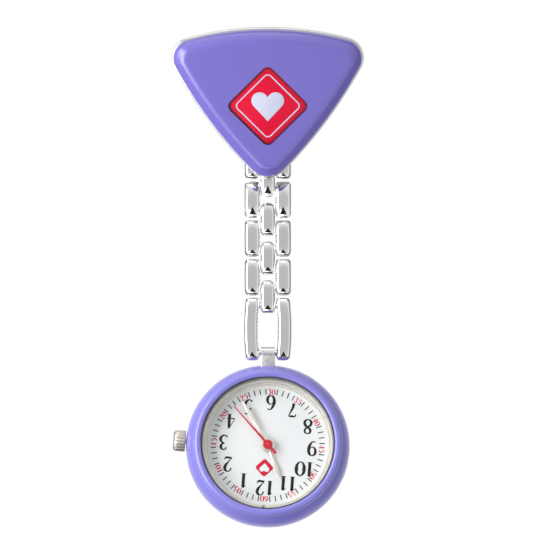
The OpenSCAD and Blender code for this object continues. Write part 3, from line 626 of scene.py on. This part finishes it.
lug_reach, lug_length, lug_width, lug_pin_z = 15.8, 2.9, 2.4, 4.9
satin_nickel = metal("satin_nickel", (0.74, 0.74, 0.74), 0.4, (1, 1, 1), 0.4)
bm = bmesh.new()
bmesh.ops.create_grid(bm, x_segments=1, y_segments=1, size=0.5)
bmesh.ops.transform(bm, verts=bm.verts, matrix=Matrix.Translation((0, lug_length / 2 - lug_reach, 3.9))
                    @ Matrix.Diagonal((lug_width, lug_length, 1, 1)))
thicken(bm, 1.95)
for v in bm.verts:
    root = (v.co.y + lug_reach) / lug_length
    v.co.z -= root * (0.65 if v.co.z > 5 else 1.3)
round_over(bm, [e for e in bm.edges if e.calc_face_angle(0) > 1.0], 0.15, 3)
bmesh.ops.create_cone(bm, cap_ends=True, segments=48, radius1=1.0, radius2=1.0, depth=lug_width,
                      matrix=Matrix.Translation((0, -lug_reach, lug_pin_z))
                      @ Matrix.Rotation(math.radians(90), 4, "Y"))
head = bench @ Matrix.Rotation(math.radians(4), 4, "Z")
finished("case_lug_piece", bm, satin_nickel, "watch_head", head, ["case_lug"])

# ---- Case back: a pressed stainless disc that clips into the case. It is brushed straight across, and a
# shallow groove runs round it.

brushed = metal("brushed_back", (0.56, 0.56, 0.57), 0.3, (0.1, 6, 6), 0.5, 0.0006, 0.88)
bm = bmesh.new()
section(bm, (0.001, 0.0), (9.3, 0.0), (9.36, 0.07), (9.54, 0.07), (9.6, 0.0), (10.7, 0.0),
        (10.7, 0.3, 0.3, -90, -60, 3), (11.85, 0.28), (11.88, 0.6), (11.0, 0.6), (11.0, 1.5), (10.4, 1.5),
        (10.4, 0.6), (0.001, 0.6))
turned(bm)
finished("case_back", bm, brushed, "watch_head", bench, ["case_back"])

# ---- Crystal: flat mineral glass with a small chamfer, pressed into a plastic gasket, which is coloured near black as painted shade.
# Its mirror share grows towards grazing angles, and the rest of the light passes straight through.

glass = bpy.data.materials.new("mineral_glass")
glass.use_nodes = True
tree = glass.node_tree
tree.nodes.clear()
out = tree.nodes.new("ShaderNodeOutputMaterial")
mixed = tree.nodes.new("ShaderNodeMixShader")
through = tree.nodes.new("ShaderNodeBsdfTransparent")
mirror = tree.nodes.new("ShaderNodeBsdfGlossy")
mirror.inputs["Roughness"].default_value = 0.03
slant = tree.nodes.new("ShaderNodeLayerWeight")
grazing = tree.nodes.new("ShaderNodeMath")
grazing.operation = "POWER"
grazing.inputs[1].default_value = 6.0
tree.links.new(slant.outputs["Facing"], grazing.inputs[0])
share = tree.nodes.new("ShaderNodeMapRange")
share.inputs["To Min"].default_value, share.inputs["To Max"].default_value = 0.015, 0.9
tree.links.new(grazing.outputs[0], share.inputs["Value"])
tree.links.new(share.outputs[0], mixed.inputs[0])
tree.links.new(through.outputs[0], mixed.inputs[1])
tree.links.new(mirror.outputs[0], mixed.inputs[2])
tree.links.new(mixed.outputs[0], out.inputs[0])
bm = bmesh.new()
section(bm, (0.001, 6.3), (11.05, 6.3), (11.05, 7.35), (10.9, 7.5), (0.001, 7.5))
turned(bm, steps=120)
finished("crystal", bm, glass, "watch_head", bench, ["crystal"])

# ---- Split ring between dial and crystal: sprung satin metal, with its gap at twelve o'clock.

satin = metal("satin_ring", (0.90, 0.89, 0.84), 0.5, (1, 1, 1), 0.3, 0.0008)
bm = bmesh.new()
section(bm, (10.15, 4.62), (10.45, 4.62), (10.45, 5.02), (11.2, 5.02), (11.2, 6.25), (10.85, 6.28),
        (10.8, 6.22), (10.58, 5.5), (10.58, 5.1), (10.44, 5.1), (10.44, 5.3), (10.36, 5.3), (10.2, 4.9))
turned(bm, 357.6, 170, 91.2)
finished("rehaut_ring", bm, satin, "watch_head", bench, ["rehaut_ring"])

# ---- Dial: a thin brass disc sprayed white, with black numerals and minute strokes and small red five-minute
# figures in pad-printed ink.

dial_white = enamel("dial_white", (0.77, 0.79, 0.80), (0.74, 0.76, 0.77), 0.45, 0.15, 0.15, 0.001)
black_ink = enamel("black_ink", (0.004, 0.004, 0.005), (0.008, 0.008, 0.008), 0.4, 0.0, 0.1, 0.001, 0.2)
red_ink = enamel("red_ink", (0.60, 0.008, 0.035), (0.52, 0.006, 0.03), 0.4, 0.0, 0.1, 0.001, 0.2)
dial_top = 4.6
bm = bmesh.new()
section(bm, (0.75, 4.2), (10.7, 4.2), (10.7, 4.56), (10.66, dial_top), (0.78, dial_top), (0.75, 4.57))
turned(bm, steps=120)
finished("dial", bm, dial_white, "watch_head", bench, ["dial"])

# Each digit's strokes, as points (x, y, half width) in a box one high. Ends are thin where the type has
# serifs.
DIGITS = {
    "0": [[(0.27, 1.0, .03), (0.04, 0.78, .062), (0.01, 0.5, .078), (0.04, 0.22, .062), (0.27, 0.0, .03),
           (0.50, 0.22, .062), (0.53, 0.5, .078), (0.50, 0.78, .062), (0.27, 1.0, .03)]],
    "1": [[(0.25, 0.97, .07), (0.25, 0.6, .07), (0.25, 0.3, .07), (0.25, 0.02, .07)],
          [(0.07, 0.83, .022), (0.16, 0.89, .03), (0.27, 0.99, .03)],
          [(0.08, 0.0, .022), (0.25, 0.01, .03), (0.42, 0.0, .022)]],
    "2": [[(0.05, 0.76, .045), (0.10, 0.93, .035), (0.27, 1.0, .035), (0.45, 0.88, .066), (0.45, 0.66, .07),
           (0.30, 0.40, .045), (0.14, 0.2, .03), (0.02, 0.04, .028)],
          [(0.02, 0.05, .04), (0.2, 0.05, .055), (0.42, 0.05, .055), (0.52, 0.2, .022)]],
    "3": [[(0.05, 0.83, .045), (0.14, 0.97, .035), (0.32, 0.98, .045), (0.43, 0.82, .066), (0.36, 0.62, .05),
           (0.2, 0.53, .028)],
          [(0.2, 0.53, .028), (0.38, 0.48, .045), (0.48, 0.27, .07), (0.36, 0.05, .05), (0.15, 0.0, .032),
           (0.03, 0.12, .05)]],
    "4": [[(0.39, 1.0, .05), (0.39, 0.7, .066), (0.39, 0.35, .068), (0.39, 0.02, .068)],
          [(0.38, 0.98, .03), (0.2, 0.66, .026), (0.02, 0.31, .026)],
          [(0.02, 0.29, .034), (0.3, 0.29, .034), (0.56, 0.29, .034)],
          [(0.24, 0.0, .022), (0.39, 0.01, .03), (0.54, 0.0, .022)]],
    "5": [[(0.1, 0.95, .05), (0.28, 0.95, .055), (0.48, 0.99, .03)],
          [(0.11, 0.97, .028), (0.08, 0.75, .028), (0.07, 0.57, .028)],
          [(0.07, 0.57, .028), (0.24, 0.62, .04), (0.44, 0.5, .066), (0.48, 0.27, .072), (0.34, 0.05, .05),
           (0.14, 0.0, .032), (0.03, 0.12, .05)]],
    "6": [[(0.48, 0.93, .03), (0.3, 0.97, .035), (0.12, 0.75, .06), (0.04, 0.42, .072), (0.12, 0.1, .06),
           (0.28, 0.0, .032), (0.46, 0.1, .058), (0.51, 0.3, .066), (0.43, 0.52, .05), (0.27, 0.6, .03),
           (0.1, 0.46, .03)]],
    "7": [[(0.03, 0.78, .03), (0.08, 0.93, .04), (0.3, 0.94, .055), (0.52, 0.95, .03)],
          [(0.52, 0.95, .028), (0.38, 0.62, .045), (0.25, 0.3, .06), (0.2, 0.02, .068)]],
    "8": [[(0.27, 1.0, .032), (0.09, 0.88, .055), (0.1, 0.68, .062), (0.27, 0.53, .05), (0.46, 0.36, .066),
           (0.48, 0.14, .06), (0.27, 0.0, .032), (0.06, 0.13, .06), (0.06, 0.34, .062), (0.24, 0.5, .045),
           (0.43, 0.68, .05), (0.44, 0.88, .052), (0.27, 1.0, .032)]],
    "9": [[(0.06, 0.07, .03), (0.24, 0.03, .035), (0.42, 0.25, .06), (0.5, 0.58, .072), (0.42, 0.9, .06),
           (0.26, 1.0, .032), (0.08, 0.9, .058), (0.03, 0.7, .066), (0.11, 0.48, .05), (0.27, 0.4, .03),
           (0.44, 0.54, .03)]],
}


def figures(text, height, bold=1.0, pitch=0.62):
    """The printed figures of a number as one flat mesh, centred, with strokes that swell and thin."""
    ink = bpy.data.curves.new("ink", "CURVE")
    ink.dimensions = "3D"
    ink.bevel_depth, ink.bevel_resolution, ink.resolution_u = 1.0, 2, 6
    ink.use_fill_caps = True
    for n, digit in enumerate(text):
        for stroke in DIGITS[digit]:
            spline = ink.splines.new("BEZIER")
            spline.bezier_points.add(len(stroke) - 1)
            for point, (x, y, r) in zip(spline.bezier_points, stroke):
                point.co = (x + (n - (len(text) - 1) / 2) * pitch - 0.27, y - 0.5, 0)
                point.radius = bold * 0.07 * (r / 0.07) ** 1.4
                point.handle_left_type = point.handle_right_type = "AUTO"
    drawn = bpy.data.objects.new("ink", ink)
    bpy.context.scene.collection.objects.link(drawn)
    bpy.context.view_layer.update()
    mesh = bpy.data.meshes.new_from_object(drawn.evaluated_get(bpy.context.evaluated_depsgraph_get()))
    bm = bmesh.new()
    bm.from_mesh(mesh)
    bmesh.ops.scale(bm, verts=bm.verts, vec=(height, height, 0.12))
    bpy.data.objects.remove(drawn)
    bpy.data.curves.remove(ink)
    bpy.data.meshes.remove(mesh)
    return bm


def gather(bm, other, place):
    """Adds a drawing to another one at a place."""
    bmesh.ops.transform(other, matrix=place, verts=other.verts)
    mesh = bpy.data.meshes.new("gathered")
    other.to_mesh(mesh)
    other.free()
    bm.from_mesh(mesh)
    bpy.data.meshes.remove(mesh)


numerals = bmesh.new()
minutes = bmesh.new()
for hour in range(1, 13):
    a = math.radians(90 - 30 * hour)
    at = Matrix.Translation((7.5 * math.cos(a), 7.3 * math.sin(a), dial_top + 0.005))
    gather(numerals, figures(str(hour), 2.45, 1.55), at)
    facing = Matrix.Translation((9.15 * math.cos(a), 9.15 * math.sin(a), dial_top + 0.005)) @ Matrix.Rotation(
        a - math.radians(90), 4, "Z")
    gather(minutes, figures(f"{5 * hour:02d}", 0.92, 1.7, 0.75), facing)
finished("hour_numerals", numerals, black_ink, "watch_head", bench)
finished("five_minute_figures", minutes, red_ink, "watch_head", bench)

strokes = bmesh.new()
for minute in range(60):
    if minute % 5:
        place = Matrix.Rotation(math.radians(-6 * minute), 4, "Z") @ Matrix.Translation(
            (0, 9.18, dial_top + 0.008)) @ Matrix.Diagonal((0.17, 0.95, 0.016, 1))
        bmesh.ops.create_cube(strokes, size=1, matrix=place)
finished("minute_strokes", strokes, black_ink, "watch_head", bench)

dial_badge_at = Vector((0.3, 3.85, dial_top))
bm = bmesh.new()
rounded_square(bm, 1.15, 0.42)
thicken(bm, 0.012)
finished("dial_badge", bm, red_ink, "watch_head",
         bench @ Matrix.Translation(dial_badge_at) @ Matrix.Rotation(math.radians(45), 4, "Z"))
bm = bmesh.new()
heart(bm, 1.6)
thicken(bm, 0.01)
finished("dial_heart", bm, dial_white, "watch_head",
         bench @ Matrix.Translation(dial_badge_at + Vector((0, 0, 0.01))))

# ---- Hands: pressed from thin strip, the hour and minute hands silvered and folded to a faint ridge, the
# seconds hand lacquered red with a round boss and a short blunt tail.

silvered = metal("silvered_hand", (0.90, 0.87, 0.79), 0.4, (1, 1, 1), 0.3, 0.0005)
red_lacquer = enamel("red_lacquer", (0.58, 0.006, 0.03), (0.50, 0.005, 0.025), 0.3, 0.2, 0.1, 0.001, 0.3)


def hand_turn(hours, minutes, seconds):
    """Turns of the three hands from twelve o'clock, as the drawing sees them."""
    return {"hour": math.radians(-30 * (hours + minutes / 60 + seconds / 3600) + 5),
            "minute": math.radians(-6 * (minutes + seconds / 60)), "second": math.radians(-6 * seconds)}


turns = hand_turn(11, 24, 22.5)


def blade(bm, outline, z, thick, ridge):
    """A flat hand from its right-hand outline (half width, height), mirrored, with a raised middle line."""
    right = [bm.verts.new((w, y, 0)) for w, y in outline]
    left = [bm.verts.new((-w, y, 0)) for w, y in outline]
    spine = [bm.verts.new((0, y, ridge)) for w, y in outline]
    for i in range(len(outline) - 1):
        bm.faces.new((right[i], right[i + 1], spine[i + 1], spine[i]))
        bm.faces.new((spine[i], spine[i + 1], left[i + 1], left[i]))
    raised(bm, z)
    pulled = bmesh.ops.extrude_face_region(bm, geom=bm.faces[:])["geom"]
    bmesh.ops.translate(bm, verts=[g for g in pulled if isinstance(g, bmesh.types.BMVert)],
                        vec=(0, 0, thick))


def boss(bm, radius, z, thick):
    bmesh.ops.create_cone(bm, cap_ends=True, segments=48, radius1=radius, radius2=radius * 0.9, depth=thick,
                          matrix=Matrix.Translation((0, 0, z + thick / 2)))


bm = bmesh.new()
blade(bm, [(0.16, 0.9), (0.22, 2.2), (0.42, 4.2), (0.30, 5.4), (0.03, 6.4)], 5.0, 0.08, 0.06)
boss(bm, 1.2, 5.0, 0.16)
finished("hour_hand_piece", bm, silvered, "hour_arbor",
         bench @ Matrix.Rotation(turns["hour"], 4, "Z"), ["hour_hand"], sharp=20)
bm = bmesh.new()
blade(bm, [(0.14, 0.8), (0.18, 2.8), (0.42, 6.1), (0.30, 7.4), (0.03, 8.6)], 5.35, 0.08, 0.06)
boss(bm, 1.0, 5.35, 0.16)
finished("minute_hand_piece", bm, silvered, "minute_arbor",
         bench @ Matrix.Rotation(turns["minute"], 4, "Z"), ["minute_hand"], sharp=20)
bm = bmesh.new()
blade(bm, [(0.22, -1.9), (0.24, -0.4), (0.20, 0.4), (0.08, 8.7)], 5.72, 0.08, 0.02)
boss(bm, 0.82, 5.72, 0.2)
bmesh.ops.create_cone(bm, cap_ends=True, segments=24, radius1=0.26, radius2=0.24, depth=0.1,
                      matrix=Matrix.Translation((0, -1.85, 5.77)))
finished("second_hand_piece", bm, red_lacquer, "second_arbor",
         bench @ Matrix.Rotation(turns["second"], 4, "Z"), ["second_hand"], sharp=20)

# ---- Crown: turned brass with a knurled rim and a domed end, plated a warm silver.
# It is screwed on the stem.

crown_plate = metal("crown_plate", (0.74, 0.68, 0.61), 0.36, (1, 1, 1), 0.3, 0.0008)
bm = bmesh.new()
flutes, knurl_r = 20, 1.78
bmesh.ops.create_circle(bm, cap_ends=True, radius=knurl_r, segments=flutes * 4)
lower, upper = thicken(bm, 2.05)
for v in bm.verts:
    n = round(math.degrees(math.atan2(v.co.y, v.co.x)) / 360 * flutes * 4) % 4
    if n in (0, 1):
        v.co.x *= 0.945
        v.co.y *= 0.945
round_over(bm, lower, 0.15, 2)
round_over(bm, upper, 0.6, 6)
crown_seat = bench @ Matrix.Translation((13.95, 0, 3.0)) @ Matrix.Rotation(math.radians(90), 4, "Y")
finished("crown_piece", bm, crown_plate, "crown_and_stem", crown_seat, ["crown"])

# ---- Inside the watch: holder ring, movement plates, wheels, battery, board and coil.
# Their shapes are the CAD nodes as they are, each in its own material.


def plastic(name, colour, rough=0.5):
    """Moulded plastic or lacquer with a fine grain."""
    finish = bpy.data.materials.new(name)
    tree, shader = new_nodes(finish)
    grain = texture_noise(tree, 0.3, 3)
    tree.links.new(two_tones(tree, spread(tree, grain, 0, 1), colour, [c * 0.9 for c in colour]),
                   shader.inputs["Base Color"])
    tree.links.new(spread(tree, grain, rough * 0.85, rough * 1.15), shader.inputs["Roughness"])
    relief(tree, shader, grain, 0.004, 0.6)
    return finish


brass = metal("movement_brass", (0.72, 0.58, 0.32), 0.28, (1, 8, 1), 0.3, 0.001)
inner_steel = metal("movement_steel", (0.66, 0.67, 0.69), 0.25, (8, 1, 1), 0.3, 0.001)
copper = metal("coil_wire", (0.78, 0.36, 0.16), 0.3, (1, 1, 30), 0.5, 0.004)
magnet = metal("magnet", (0.30, 0.30, 0.32), 0.45, (1, 1, 1), 0.2, 0.002)
seal = plastic("seal_rubber", (0.02, 0.02, 0.022), 0.7)
# The crystal gasket is made near black as painted shade: it imitates the dark shadow line round the crystal's
# edge.
painted_shade_gasket = plastic("gasket_painted_shade", (0.06, 0.06, 0.065), 0.4)
ring_white = plastic("holder_white", (0.80, 0.80, 0.77), 0.5)
board = plastic("board_green", (0.02, 0.16, 0.06), 0.35)
inside = {
    "back_gasket": seal, "crystal_gasket": painted_shade_gasket, "movement_ring": ring_white, "main_plate": brass,
    "train_bridge": brass, "bridge_screws": inner_steel, "battery": inner_steel, "battery_clip": spring_wire,
    "circuit_board": board, "quartz_can": nickel, "coil": copper, "stator": inner_steel, "second_wheel": brass,
    "centre_wheel": brass, "hour_wheel": brass, "minute_wheel": brass, "third_wheel": brass,
    "step_wheel": ring_white, "rotor": magnet, "stem": spring_wire, "setting_lever": inner_steel}
for node, finish in inside.items():
    dressed(node, finish)
